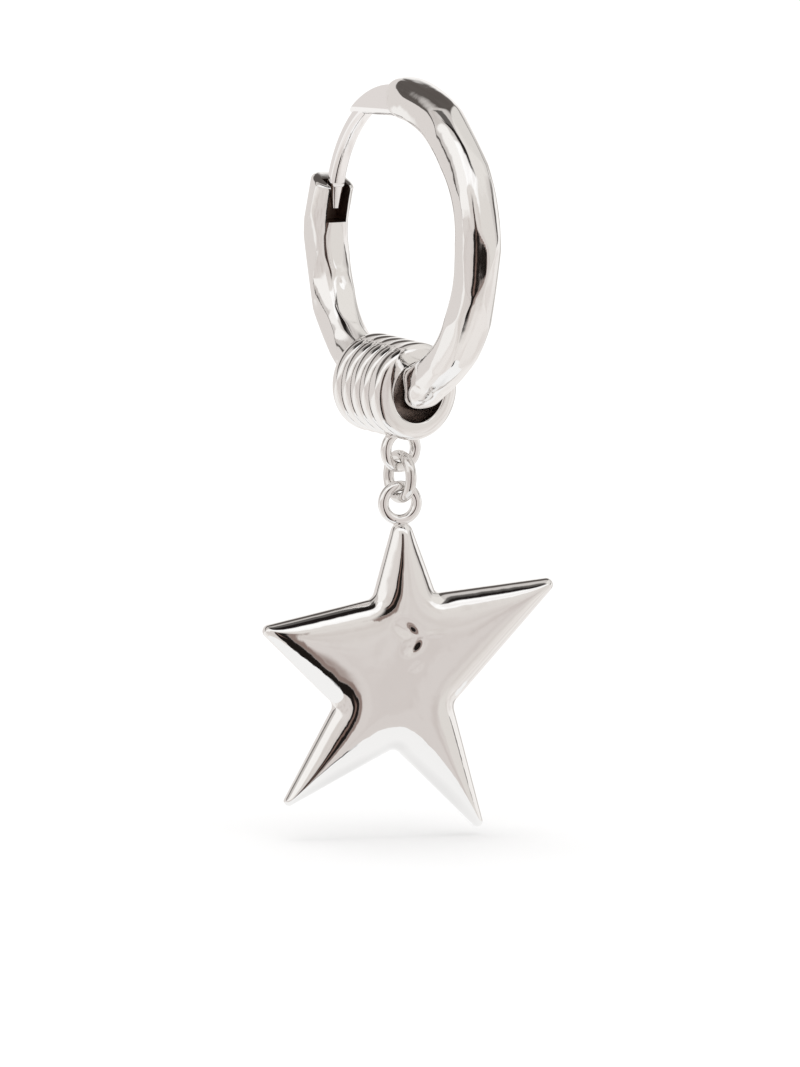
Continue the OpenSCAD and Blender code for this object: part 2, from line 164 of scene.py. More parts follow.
class StarSettings(PropertyGroup):
    """Sizes of the puffed star."""
    width: length_prop("Width", 16.4, "From side tip to side tip")
    height: length_prop("Height", 16.6, "From top to lowest tip")
    thick: length_prop("Thickness", 2.5, "At its middle")
    shoulder: length_prop("Shoulder", 2.2, "Softness of its edges")
    thinning: FloatProperty(name="Thinning", description="How much thinner its tips are",
                            default=0.1, subtype="FACTOR", min=0, max=1)
    sink: length_prop("Ring sink", 0.24, "How far its ring is let into the top arm")


class FinishSettings(PropertyGroup):
    """Colours of the metals, as the linear values of their hex codes."""
    silver: colour_prop("Silver", "f3f2f1", "Polished cast silver")
    wire: colour_prop("Wire", "e8e6e4", "Drawn silver wire")
    post: colour_prop("Post", "f8f7f7", "Bright silver of the post")
    # The recess colour is painted shade: it darkens the slot, the pocket and the bead's bore, where shadow
    # falls.
    recess: colour_prop("Recess", "7d6c63", "Unpolished silver in the slots")


def in_mm(settings):
    """A group's lengths in millimetres and its angles in degrees."""
    scale = {"LENGTH": 1 / MM, "ROTATION": math.degrees(1)}
    kinds = settings.bl_rna.properties
    return SimpleNamespace(**{name: getattr(settings, name) * scale.get(kinds[name].unit, 1)
                              for name in settings.__annotations__})


SETTINGS = {"ear_hoop": HoopSettings, "ear_post": PostSettings, "ear_bead": BeadSettings,
            "ear_wire": WireSettings, "ear_star": StarSettings, "ear_finish": FinishSettings}


# Small tools.

def deselect():
    if bpy.context.mode != "OBJECT":
        bpy.ops.object.mode_set(mode="OBJECT")
    bpy.ops.object.select_all(action="DESELECT")


def pick(obj):
    """Makes one object the only selected and active one."""
    deselect()
    obj.select_set(True)
    bpy.context.view_layer.objects.active = obj


def start(name, add, scale=(1, 1, 1), matrix=None, **size):
    """Adds a primitive with nothing else selected, names it and writes its place into its mesh."""
    deselect()
    add(**size)
    obj = bpy.context.active_object
    obj.name = obj.data.name = name
    obj.scale = scale
    settle(obj, matrix)
    return obj


def settle(obj, matrix=None):
    """Writes the object's own place, and then a matrix, into its mesh."""
    pick(obj)
    bpy.ops.object.transform_apply(location=True, rotation=True, scale=True)
    if matrix is not None:
        obj.matrix_world = matrix
        bpy.ops.object.transform_apply(location=True, rotation=True, scale=True)


def points_of(obj):
    co = np.empty(len(obj.data.vertices) * 3)
    obj.data.vertices.foreach_get("co", co)
    return co.reshape(-1, 3)


def move_points(obj, co):
    obj.data.vertices.foreach_set("co", np.ascontiguousarray(co).ravel())
    obj.data.update()


def edit(obj, part="VERT"):
    pick(obj)
    bpy.ops.object.mode_set(mode="EDIT")
    bpy.ops.mesh.select_mode(type=part)


def choose_all():
    bpy.ops.mesh.select_all(action="SELECT")


def choose(obj, kind, test):
    """In edit mode, selects just the vertices, edges or faces that pass a test."""
    bpy.ops.mesh.select_all(action="DESELECT")
    bm = bmesh.from_edit_mesh(obj.data)
    for item in getattr(bm, kind):
        if test(item):
            item.select_set(True)
    bmesh.update_edit_mesh(obj.data)


def spin_round(turn, steps):
    """Spins what is selected round the hoop's axis. A turn over 0 goes over the top to the back."""
    bpy.ops.mesh.spin(steps=steps, angle=math.radians(turn), center=(0, 0, 0), axis=(1, 0, 0))


def boolean(obj, other, operation):
    """Joins or cuts with another piece, which is used up. New faces keep their own finish."""
    pick(obj)
    bpy.ops.object.modifier_add(type="BOOLEAN")
    cut = obj.modifiers[-1]
    cut.operation = operation
    cut.solver = "EXACT"
    cut.object = other
    cut.material_mode = "TRANSFER"
    bpy.ops.object.modifier_apply(modifier=cut.name)
    bpy.data.objects.remove(other)
    if not obj.data.polygons:
        raise RuntimeError(f"{obj.name} was emptied by a {operation.lower()} step")


def finish_piece(obj, matrix, body, node, material, angle=35):
    """Carries a piece from its own millimetres to the frame's metres, and dresses it."""
    edit(obj)
    choose_all()
    bpy.ops.mesh.remove_doubles(threshold=0.0004)
    bpy.ops.mesh.normals_make_consistent(inside=False)
    # Many-sided faces of a union are split to even triangles, so none doubles as a sliver.
    bpy.ops.mesh.select_face_by_sides(number=4, type="GREATER", extend=False)
    bpy.ops.mesh.quads_convert_to_tris(quad_method="BEAUTY", ngon_method="BEAUTY")
    bpy.ops.object.mode_set(mode="OBJECT")
    settle(obj, Matrix.Scale(MM, 4) @ matrix)
    bpy.ops.object.shade_smooth_by_angle(angle=math.radians(angle))
    if not any(obj.data.materials):
        obj.data.materials.clear()
        obj.data.materials.append(material)
    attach(obj, body)
    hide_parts(node)


def around_x(angle):
    return Matrix.Rotation(math.radians(angle), 4, "X")


def on_hoop(reach, angle):
    """A point of the hoop's plane from the hoop's middle, as (0, Y, Z)."""
    a = math.radians(angle)
    return Vector((0, -reach * math.cos(a), reach * math.sin(a)))


# Materials.

def bare_tree(owner):
    """The emptied node tree of a new material or world."""
    owner.use_nodes = True
    owner.node_tree.nodes.clear()
    return owner.node_tree


def add_node(tree, kind, links=(), stops=(), **settings):
    """Adds a node. Settings that name an input set it, and others set the node itself. Stops are the
    places and colours of a ramp."""
    node = tree.nodes.new(kind)
    for key, value in settings.items():
        if key.startswith("in_"):
            name = key[3:]
            node.inputs[int(name) if name.isdigit() else name.replace("_", " ")].default_value = value
        else:
            setattr(node, key, value)
    for source, socket in links:
        tree.links.new(source, node.inputs[socket])
    for k, (at, code) in enumerate(stops):
        row = node.color_ramp.elements
        stop = row[k] if k < 2 else row.new(at)
        stop.position = at
        stop.color = linear(code)
    return node


# Each metal: its colour, its roughness, then in millimetres the length and height of the slow waves
# left by the felt wheel and the width and depth of its hair scratches.
METALS = {
    # Sterling silver, planished with a hammer and buffed: a mirror that bends at each blow, with fine
    # scratches that only soften its brightest edges.
    "hammered polished silver": ("silver", 0.055, 0.8, 0.014, 0.12, 0.0006),
    # Rhodium-plated silver wire, drawn and buffed: whiter and smoother than the hoop.
    "bright polished post silver": ("post", 0.05, 0.7, 0.002, 0.1, 0.0004),
    # Silver turned on a lathe and tumbled: soft tool waves, a slightly broader sheen.
    "polished turned silver": ("silver", 0.06, 0.8, 0.004, 0.1, 0.0006),
    # Drawn silver wire, tumbled: small bright lines with a faint orange-peel skin.
    "polished silver wire": ("wire", 0.06, 0.5, 0.003, 0.08, 0.0005),
    # Silver cast in a mould and polished by hand: a deep mirror that wavers as cast skin does.
    "mirror polished cast silver": ("silver", 0.045, 0.9, 0.013, 0.12, 0.0005),
    # A rivet of silver wire, filed off: duller than what it holds.
    "polished pin silver": ("wire", 0.08, 0.4, 0.001, 0.06, 0.0004),
    # Sawn and filed silver that no wheel reaches: matt and scratched, with a dark colour that is painted
    # shade.
    "filed silver of the recess": ("recess", 0.3, 0.6, 0.003, 0.07, 0.004),
}
# A buffed metal dulls a little in patches this long, where fingers touch it.
TOUCH_MM = 2.6


def polished_metal(name):
    """One of the metals above."""
    tint, roughness, wave_mm, wave_height, grain_mm, grain_height = METALS[name]
    mat = bpy.data.materials.new(name)
    tree = bare_tree(mat)
    where = add_node(tree, "ShaderNodeTexCoord").outputs["Object"]
    # Scratches run longer along the object's height, the way it is wiped.
    along = add_node(tree, "ShaderNodeMapping", [(where, "Vector")], in_Scale=(1, 1, 0.35)).outputs[0]
    waves, grain, touch = (
        add_node(tree, "ShaderNodeTexNoise", [(place, "Vector")], in_Scale=1 / (size_mm * MM),
                 in_Detail=detail, in_Roughness=uneven).outputs["Fac"]
        for place, size_mm, detail, uneven in ((where, wave_mm, 1.5, 0.4), (along, grain_mm, 2.0, 0.6),
                                               (where, TOUCH_MM, 3.0, 0.55)))
    wave_bump = add_node(tree, "ShaderNodeBump", [(waves, "Height")], in_Strength=1.0,
                         in_Distance=wave_height * MM).outputs["Normal"]
    grain_bump = add_node(tree, "ShaderNodeBump", [(grain, "Height"), (wave_bump, "Normal")],
                          in_Strength=1.0, in_Distance=grain_height * MM).outputs["Normal"]
    fine = add_node(tree, "ShaderNodeMapRange", [(grain, "Value")], in_1=0.3, in_2=0.7,
                    in_3=roughness * 0.7, in_4=roughness * 1.3).outputs[0]
    touched = add_node(tree, "ShaderNodeMapRange", [(touch, "Value")], in_1=0.45, in_2=0.7,
                       in_3=0.0, in_4=roughness * 0.5).outputs[0]
    rough = add_node(tree, "ShaderNodeMath", [(fine, 0), (touched, 1)], operation="ADD").outputs[0]
    shade = add_node(tree, "ShaderNodeBsdfPrincipled", [(rough, "Roughness"), (grain_bump, "Normal")],
                     in_Base_Color=tuple(getattr(bpy.context.scene.ear_finish, tint)) + (1,), in_Metallic=1.0)
    add_node(tree, "ShaderNodeOutputMaterial", [(shade.outputs["BSDF"], "Surface")])
    return mat


# The hoop.

# Hammer marks: angle round the hoop, angle round the tube from its outer side towards +X, half
# length round the hoop, half width round the tube, share of a full mark. Under 0 the metal swells.
HAMMER_MARKS = np.array([
    (70, -20, 14, 60, 1.0), (-74, -14, 12, 62, -1.4), (62, -100, 16, 46, 0.6),
    (44, 30, 13, 52, 0.9), (36, -60, 15, 40, 0.8), (20, -118, 18, 40, 0.7),
    (14, 10, 13, 44, 1.0), (-4, -36, 12, 34, 1.5), (-14, 44, 14, 50, 0.9),
    (-16, -96, 16, 40, 0.8), (-32, -14, 14, 50, 1.0), (-40, -66, 13, 36, 0.9),
    (-48, -128, 16, 40, 0.6), (-58, 40, 15, 56, 0.8), (50, 150, 18, 50, 0.6),
    (18, 110, 16, 46, 0.9), (-12, 160, 18, 44, 0.6), (-38, 112, 15, 46, 0.9),
    (-66, 132, 15, 46, 0.6), (-90, 10, 15, 60, 0.6), (-92, 104, 14, 46, 0.7),
    (-92, -96, 14, 46, 0.7), (-114, -46, 14, 50, 0.9), (-118, 66, 15, 52, 0.9),
    (-122, -118, 13, 36, 0.8), (-134, 0, 15, 54, 1.0), (-140, 126, 16, 46, 0.8),
    (-142, -78, 13, 38, 0.9), (-150, 180, 15, 38, 0.8), (-158, -124, 14, 34, 0.7),
    (-160, 46, 15, 56, 1.0), (-166, -46, 14, 44, 0.9), (-176, -92, 13, 38, 0.8),
    (-178, 168, 16, 40, 0.7), (-184, 100, 14, 46, 0.9), (-188, 6, 14, 56, 0.9),
    (-192, -132, 12, 34, 0.6), (-198, -60, 12, 40, 0.8),
    # A round dimple beside the bead and a slim one inside the catch end.
    (-67, -56, 4, 20, 0.45), (-156, -175, 5, 15, 0.8),
])
# Rows of the skin on the nose, the long tube and the rim, which need their own spacing.
TUBE_ROWS = (16, 300, 8)
# How far a cutter reaches past the metal.
CUT_PAST = 1
# Roundness of the tube's section: 2 is a circle, more is squarer.
SECTION_POWER = 2.5
# Marks that meet press no deeper than this share of a full mark.
DEEPEST = 1.5
# Where two marks meet, a higher power leaves a crisper ridge.
RIDGE_POWER = 4


def pressed(along, around):
    """How deep the hammer has pressed a point of the tube, as a share of a full mark."""
    cut, swell = np.zeros_like(along), np.zeros_like(along)
    for at, side, half_len, half_wide, share in HAMMER_MARKS:
        turn = (around - side + 180) % 360 - 180
        hollow = np.clip(1 - ((along - at) / half_len) ** 2 - (turn / half_wide) ** 2, 0, None)
        if share > 0:
            cut += (share * hollow) ** RIDGE_POWER
        else:
            swell += share * hollow ** 1.5
    return np.minimum(cut ** (1 / RIDGE_POWER), DEEPEST) + swell


class EARRING_OT_hoop(Operator):
    """Hammered tube bent to a hoop, with a hinge fork and a catch pocket"""
    bl_idname = "earring.hoop"
    bl_label = "Hammered hoop"

    def execute(self, context):
        s, post = in_mm(context.scene.ear_hoop), in_mm(context.scene.ear_post)
        hoop_r = (HOOP_MIDDLE - PIN_AT).length
        tube_r = s.tube / 2
        arc = 180 / (math.pi * hoop_r)
        first, last = s.hinge_end - s.nose_len * arc, s.catch_end - 360 + s.rim * arc
        hoop = start("hoop_tube", bpy.ops.mesh.primitive_circle_add, vertices=96, radius=tube_r,
                     location=on_hoop(hoop_r, s.hinge_end), rotation=(math.radians(-s.hinge_end), 0, 0))
        mat = polished_metal("hammered polished silver")
        hoop.data.materials.append(mat)
        edit(hoop)
        for turn, rows in zip((first - s.hinge_end, last - first, s.catch_end - 360 - last), TUBE_ROWS):
            spin_round(turn, rows)
        choose(hoop, "edges", lambda e: e.is_boundary)
        bpy.ops.mesh.fill_holes(sides=0)
        bpy.ops.object.mode_set(mode="OBJECT")
        self.hammer(hoop, s, hoop_r, tube_r, arc)
        # The slot's and the pocket's walls get the filed metal, whose dark colour is painted shade inside
        # them.
        inside = polished_metal("filed silver of the recess")
        self.cut_slot(hoop, s, post, hoop_r, tube_r, inside)
        self.cut_pocket(hoop, s, post, hoop_r, tube_r, arc, inside)
        finish_piece(hoop, Matrix.Translation(HOOP_MIDDLE), "hoop_body", "hoop", mat)
        return {"FINISHED"}

    @staticmethod
    def hammer(hoop, s, hoop_r, tube_r, arc):
        """Moves the tube's skin to its soft square section, its rounded ends and its marks."""
        co = points_of(hoop)
        along = np.degrees(np.arctan2(co[:, 2], -co[:, 1]))
        along = np.where(along > s.hinge_end + 1, along - 360, along)
        out = np.hypot(co[:, 1], co[:, 2]) - hoop_r
        around = np.degrees(np.arctan2(co[:, 0], out))
        a = np.radians(around)
        corners = np.abs(np.cos(a)) ** SECTION_POWER + np.abs(np.sin(a)) ** SECTION_POWER
        square = corners ** (-1 / SECTION_POWER)
        nose = np.clip(1 - (s.hinge_end - along) / (s.nose_len * arc), 0, 1)
        rim = np.clip(1 - (along - s.catch_end + 360) / (s.rim * arc), 0, 1)
        inset = s.nose_in * (1 - np.sqrt(1 - nose ** 2)) + s.rim * (1 - np.sqrt(1 - rim ** 2))
        reach = tube_r * square - inset - s.hammer * pressed(along, around)
        way = np.radians(along)
        r = hoop_r + reach * np.cos(a)
        move_points(hoop, np.stack([reach * np.sin(a), -r * np.cos(way), r * np.sin(way)], 1))

    @staticmethod
    def cut_slot(hoop, s, post, hoop_r, tube_r, inside):
        """The hinge slot, open at the tube's end and towards the hoop's middle."""
        pin = PIN_AT - HOOP_MIDDLE
        room = post.knuckle + s.slot_gap
        low, high = hoop_r - tube_r - CUT_PAST, pin.z + room
        front, back = pin.y - room, pin.y + 3 * CUT_PAST
        cutter = start("slot_cutter", bpy.ops.mesh.primitive_cube_add, size=1,
                       scale=(post.tab + 2 * s.slot_gap, back - front, high - low),
                       location=(0, (front + back) / 2, (low + high) / 2))
        cutter.data.materials.append(inside)
        boolean(hoop, cutter, "DIFFERENCE")

    @staticmethod
    def cut_pocket(hoop, s, post, hoop_r, tube_r, arc, inside):
        """The catch pocket, open at the tube's end and towards the hoop's middle."""
        wall_r, end, width = pocket_size(s, post, hoop_r)
        low, mouth = hoop_r - tube_r - CUT_PAST, s.catch_end - arc
        cutter = start("pocket_cutter", bpy.ops.mesh.primitive_plane_add, size=1,
                       scale=(width, wall_r - low, 1), location=on_hoop((low + wall_r) / 2, mouth),
                       rotation=(math.radians(-mouth), 0, 0))
        edit(cutter)
        choose_all()
        spin_round(end - mouth, 24)
        choose_all()
        bpy.ops.mesh.normals_make_consistent(inside=False)
        bpy.ops.object.mode_set(mode="OBJECT")
        cutter.data.materials.append(inside)
        boolean(hoop, cutter, "DIFFERENCE")


# The ear post.

# How far the middle of the post's curve lies in front of the hoop's.
POST_FORWARD = 0.1
# Degrees of the wire that are let into the tab.
TAB_BITE = 16
# Clearances: tab to tube, tip to the pocket's sides, tip to its outer wall and past the tip's end.
TAB_GAP = 0.12
POCKET_GAP = 0.17
SEAT_GAP = 0.1
POCKET_RUN = 0.85
PIN_HOLE_R = 0.34
# Edges of the tab, over its top and along its lower edge.
UPPER_BEVEL = 0.2
LOWER_ROUND = 0.42


def post_middle(s, post, hoop_r):
    return Vector((0, -POST_FORWARD, hoop_r + s.tube / 2 - post.drop - post.out_r))


def post_reach(mid, r, hoop_angle):
    """Distance from the hoop's middle, at a hoop angle, of the post's circle of radius r."""
    c = on_hoop(1, hoop_angle).dot(mid)
    return c + math.sqrt(c * c - mid.dot(mid) + r * r)


def post_angles(s, post, hoop_r):
    """Angles round the post's own middle: tab's lower edge, start of the tip, end of the tip."""
    mid = post_middle(s, post, hoop_r)
    mid_r = post.out_r - post.depth / 2
    p = on_hoop(post_reach(mid, mid_r, s.catch_end), s.catch_end) - mid
    taper = math.degrees(math.atan2(p.z, -p.y))
    low = 180 - math.degrees(math.asin((post.tab_edge - mid.z) / mid_r))
    return low, taper, taper + math.degrees(post.tip_len / mid_r)


def pocket_size(s, post, hoop_r):
    """Wall radius, end angle and width of the catch pocket."""
    mid = post_middle(s, post, hoop_r)
    tip = mid + on_hoop(post.out_r - post.depth / 2 - post.tip_lean, post_angles(s, post, hoop_r)[2])
    end = math.degrees(math.atan2(tip.z, -tip.y)) + math.degrees(POCKET_RUN / hoop_r)
    return post_reach(mid, post.out_r, s.catch_end) + SEAT_GAP, end, post.width + 2 * POCKET_GAP


class EARRING_OT_post(Operator):
    """Curved post wire with its hinge tab, knuckle and notched tip"""
    bl_idname = "earring.post"
    bl_label = "Ear post"

    def execute(self, context):
        s, p = in_mm(context.scene.ear_hoop), in_mm(context.scene.ear_post)
        hoop_r = (HOOP_MIDDLE - PIN_AT).length
        mid = post_middle(s, p, hoop_r)
        low, taper, end = post_angles(s, p, hoop_r)
        post = self.wire(p, low, taper, end)
        settle(post, Matrix.Translation(mid))
        pin = PIN_AT - HOOP_MIDDLE
        front = on_hoop(hoop_r, s.hinge_end).y + TAB_GAP
        boolean(post, self.tab(p, mid, front), "UNION")
        boolean(post, self.tongue(p, pin, front), "UNION")
        for name, at, r in (("pin_hole", pin, PIN_HOLE_R),
                            ("notch", mid + on_hoop(p.out_r - p.depth, taper), p.notch / 2)):
            hole = start(name, bpy.ops.mesh.primitive_cylinder_add, vertices=48, radius=r,
                         depth=p.tab + 2 * CUT_PAST, location=at, rotation=(0, math.pi / 2, 0))
            boolean(post, hole, "DIFFERENCE")
        mat = polished_metal("bright polished post silver")
        finish_piece(post, Matrix.Translation(HOOP_MIDDLE), "post_body", "ear_post", mat)
        return {"FINISHED"}

    @staticmethod
    def wire(p, low, taper, end):
        """The curved wire round the post's own middle, and its tip drawn to a blunt end."""
        begin = low - TAB_BITE
        mid_r = p.out_r - p.depth / 2
        wire = start("post_wire", bpy.ops.mesh.primitive_plane_add, size=1, scale=(p.width, p.depth, 1),
                     location=on_hoop(mid_r, begin), rotation=(math.radians(-begin), 0, 0))
        edit(wire)
        choose_all()
        bpy.ops.mesh.bevel(offset=p.corner, segments=8, affect="VERTICES")
        choose_all()
        spin_round(taper - begin, 120)
        # The tip narrows in rows towards its blunt end, which leans inwards.
        steps = 10
        turn = (end - taper) / steps
        size = 1.0
        for k in range(1, steps + 1):
            share = k / steps
            spin_round(turn, 1)
            at = taper + (end - taper) * share
            want = 1 + (p.tip_d / p.depth - 1) * share
            before, after = p.tip_lean * (k - 1) / steps, p.tip_lean * share
            bpy.ops.transform.translate(value=on_hoop(before - after, at))
            factor = want / size
            size = want
            bpy.ops.transform.resize(value=(factor, factor, factor),
                                     center_override=on_hoop(mid_r - after, at))
        choose_all()
        bpy.ops.mesh.normals_make_consistent(inside=False)
        bpy.ops.object.mode_set(mode="OBJECT")
        return wire

    @staticmethod
    def tab(p, mid, front):
        """The hinge tab: a disc cut by a straight lower edge, with a narrow bevel over its top."""
        tab = start("post_tab", bpy.ops.mesh.primitive_cylinder_add, vertices=360, radius=p.out_r,
                    depth=p.tab, location=mid, rotation=(0, math.pi / 2, 0))
        edit(tab)
        for point, normal in (((0, 0, p.tab_edge), (0, 0, -1)), ((0, front, 0), (0, -1, 0))):
            choose_all()
            bpy.ops.mesh.bisect(plane_co=point, plane_no=normal, use_fill=True, clear_outer=True)
        # Level cuts near the lower edge carry its rounding.
        for k in range(1, 9):
            level = p.tab_edge + LOWER_ROUND * (1 - math.cos(math.pi / 2 * k / 8))
            choose_all()
            bpy.ops.mesh.bisect(plane_co=(0, 0, level), plane_no=(0, 0, 1))

        def over_top(edge):
            rim = [v.co for v in edge.verts if abs((v.co - mid).yz.length - p.out_r) < 0.01]
            return len(rim) == 2 and abs(rim[0].x - rim[1].x) < 0.01 and abs(rim[0].x) > p.tab / 2 - 0.01

        choose(tab, "edges", over_top)
        bpy.ops.mesh.bevel(offset=UPPER_BEVEL, segments=5, affect="EDGES", clamp_overlap=True)
        bpy.ops.object.mode_set(mode="OBJECT")
        co = points_of(tab)
        down = np.clip((p.tab_edge + LOWER_ROUND - co[:, 2]) / LOWER_ROUND, 0, 1)
        inset = LOWER_ROUND * (1 - np.sqrt(1 - down ** 2))
        co[:, 0] = np.sign(co[:, 0]) * np.maximum(np.abs(co[:, 0]) - inset, 0)
        move_points(tab, co)
        return tab

    @staticmethod
    def tongue(p, pin, front):
        """The knuckle round the pin and the neck that joins it to the tab."""
        knuckle = start("post_tongue", bpy.ops.mesh.primitive_cylinder_add, vertices=96, radius=p.knuckle,
                        depth=p.tab, location=pin, rotation=(0, math.pi / 2, 0))
        length = front - pin.y + TAB_GAP
        neck = start("neck", bpy.ops.mesh.primitive_cube_add, size=1,
                     scale=(p.tab, length, 2 * p.knuckle), location=(0, pin.y + length / 2, pin.z))
        boolean(knuckle, neck, "UNION")
        return knuckle


# Bead and rings.

# Gap between the tube and the bead that hangs on it.
REST_GAP = 0.06
# How far the loop is let into the bead, and how far it sits in front of its middle.
LOOP_SINK = 0.33
LOOP_FORWARD = 0.75
# Faces up to this far outside the bore belong to it.
BORE_EDGE = 0.015


def wire_ring(name, mid_r, wire_r, matrix):
    """A round wire ring, with its axis along Z before the matrix turns it."""
    return start(name, bpy.ops.mesh.primitive_torus_add, matrix=matrix, major_segments=128,
                 minor_segments=40, major_radius=mid_r, minor_radius=wire_r)


class EARRING_OT_bead(Operator):
    """Ribbed barrel bead with a bull-nosed front ring and a loop soldered under it"""
    bl_idname = "earring.bead"
    bl_label = "Ribbed bead"

    def execute(self, context):
        b, w = in_mm(context.scene.ear_bead), in_mm(context.scene.ear_wire)
        tube_r = in_mm(context.scene.ear_hoop).tube / 2
        hoop_r = (HOOP_MIDDLE - PIN_AT).length
        bead_r, hole_r = b.across / 2, tube_r + b.play / 2
        length = b.ribs * b.pitch + b.ring_len
        outline = np.array(self.outline(b, bead_r, hole_r, length))
        # A ring of points is moved on to the bead's section and turned round the hole.
        bead = start("bead_barrel", bpy.ops.mesh.primitive_circle_add, vertices=len(outline), radius=1)
        move_points(bead, np.stack([0 * outline[:, 0], length / 2 - outline[:, 1], outline[:, 0]], 1))
        edit(bead)
        choose_all()
        bpy.ops.mesh.spin(steps=192, angle=math.tau, center=(0, 0, 0), axis=(0, 1, 0))
        choose_all()
        bpy.ops.mesh.remove_doubles(threshold=0.0005)
        bpy.ops.mesh.normals_make_consistent(inside=False)
        # The bore gets the filed metal, whose dark colour is painted shade inside the hole.
        mat = polished_metal("polished turned silver")
        bead.data.materials.append(mat)
        bead.data.materials.append(polished_metal("filed silver of the recess"))
        choose(bead, "faces", lambda face: face.calc_center_median().xz.length < hole_r + BORE_EDGE)
        bead.active_material_index = 1
        bpy.ops.object.material_slot_assign()
        bpy.ops.object.mode_set(mode="OBJECT")
        loop_r = w.loop / 2
        inside = hoop_r - tube_r
        rise = inside - math.sqrt(inside ** 2 - (length / 2) ** 2)
        drop = hole_r - tube_r - rise - REST_GAP
        loop_z = -(bead_r - LOOP_SINK + loop_r)
        loop_at = Matrix.Translation((0, -LOOP_FORWARD, loop_z)) @ around_x(90)
        loop = wire_ring("bead_loop", loop_r, w.wire / 2, loop_at)
        loop.data.materials.append(mat)
        boolean(bead, loop, "UNION")
        place = (Matrix.Translation(HOOP_MIDDLE) @ around_x(b.back)
                 @ Matrix.Translation((0, 0, -(hoop_r + drop)))
                 @ Matrix.Rotation(math.radians(b.turn), 4, "Z"))
        finish_piece(bead, place, "bead_body", "ribbed_bead", mat, 50)
        return {"FINISHED"}

    @staticmethod
    def outline(b, bead_r, hole_r, length):
        """The bead's section as (radius, place along it), from its back mouth over the ribs."""
        mouth, nose_power = 0.12, 0.8
        rows = [(hole_r, mouth), (hole_r + mouth * 0.3, mouth * 0.3), (hole_r + mouth, 0),
                (bead_r - b.groove - mouth, 0)]
        for k in range(b.ribs):
            for step in range(0 if k == 0 else 1, 15):
                a = math.pi * step / 14
                rows.append((bead_r - b.groove * (1 - math.sin(a)),
                             (k + 0.5) * b.pitch - b.pitch / 2 * math.cos(a)))
        ring_mid, half = length - b.ring_len / 2, b.ring_len / 2
        for step in range(1, 17):
            a = math.pi / 2 * (1 + (16 - step) / 16)
            c, d = -abs(math.cos(a)) ** nose_power, abs(math.sin(a)) ** nose_power
            rows.append((bead_r - b.groove * (1 - d), ring_mid + half * c))
        wall = bead_r - hole_r
        for step in range(1, 25):
            a = math.pi / 2 * step / 24
            rows.append((hole_r + mouth + (wall - mouth) * math.cos(a) ** nose_power,
                         ring_mid + half * math.sin(a) ** nose_power))
        rows += [(hole_r + mouth * 0.3, length - mouth * 0.3), (hole_r, length - mouth)]
        steps = 12
        rows += [(hole_r, length - mouth - (length - 2 * mouth) * k / steps) for k in range(1, steps)]
        return rows


class EARRING_OT_jump_ring(Operator):
    """Round wire ring between the bead's loop and the star"""
    bl_idname = "earring.jump_ring"
    bl_label = "Jump ring"

    def execute(self, context):
        w = in_mm(context.scene.ear_wire)
        at = Vector((LINK_LOW.x, LINK_LOW.y, LINK_LOW.z + w.link / 2))
        ring = wire_ring("link_ring", w.link / 2, w.wire / 2, Matrix.Rotation(math.pi / 2, 4, "Y"))
        mat = polished_metal("polished silver wire")
        finish_piece(ring, Matrix.Translation(at), "ring_body", "jump_ring", mat)
        return {"FINISHED"}


# The star.

# Round corners of the star's outline, clockwise from its top tip: how far across as a share of its
# width, how far up as a share of its height (all lie below the tip, so under 0), then the radius as a
# share of the width (a notch's is under 0).
STAR_CORNERS = np.array([
    (0.006, -0.040, 0.038), (0.137, -0.217, -0.022), (0.506, -0.223, 0.023),
    (0.225, -0.618, -0.040), (0.268, -1.002, 0.018), (-0.026, -0.789, -0.034),
    (-0.383, -0.914, 0.016), (-0.259, -0.605, -0.026), (-0.448, -0.352, 0.023),
    (-0.118, -0.228, -0.030),
])
# The place on the face that its rows close in on, as shares in the same way.
STAR_MIDDLE = np.array((-0.012, -0.5))
# Dents of the front face, in millimetres from the top tip: across, down, half length, half width,
# turn in degrees and depth, which is under 0 where the metal swells.
STAR_DENTS = (
    (0.1, 5.85, 0.6, 0.34, -30, 0.135),
    (0.4, 6.75, 0.5, 0.32, 35, 0.125),
    (1.5, 6.15, 0.6, 0.14, 3, -0.03),
    (0.6, 7.9, 0.3, 0.2, 50, 0.03),
    (-0.9, 6.6, 1.5, 0.5, 40, 0.012),
    (-0.2, 8.6, 1.8, 0.8, 55, 0.016),
)
# Solder that ran round the ring's foot: across, up, then its half sizes.
SOLDER_DROPS = ((-0.26, 0.05, (0.25, 0.31, 0.17)), (0.3, 0.06, (0.23, 0.28, 0.16)))
# Rows of the face, and where they end as a share of the way from the middle to the edge.
FACE_ROWS = 56
CORE_SHARE = 0.03


def star_outline(width, height, tip_steps=14, edge_steps=34):
    """Points of the outline, with even steps on the edges and round corners."""
    corners = STAR_CORNERS * (width, height, width)
    n = len(corners)

    def edge_angle(k):
        p, q = corners[k % n], corners[(k + 1) % n]
        d = q[:2] - p[:2]
        return math.atan2(d[1], d[0]) - math.asin((p[2] - q[2]) / np.hypot(*d))

    def touch(c, a):
        return np.array((c[0] - c[2] * math.sin(a), c[1] + c[2] * math.cos(a)))

    points = []
    for k in range(n):
        a, b = edge_angle(k - 1), edge_angle(k)
        b = a + (b - a + math.pi) % math.tau - math.pi
        points += [touch(corners[k], a + (b - a) * s / tip_steps) for s in range(tip_steps + 1)]
        p, q = touch(corners[k], edge_angle(k)), touch(corners[(k + 1) % n], edge_angle(k))
        points += [p + (q - p) * (0.5 - 0.5 * math.cos(math.pi * s / edge_steps))
                   for s in range(1, edge_steps)]
    return np.array(points)


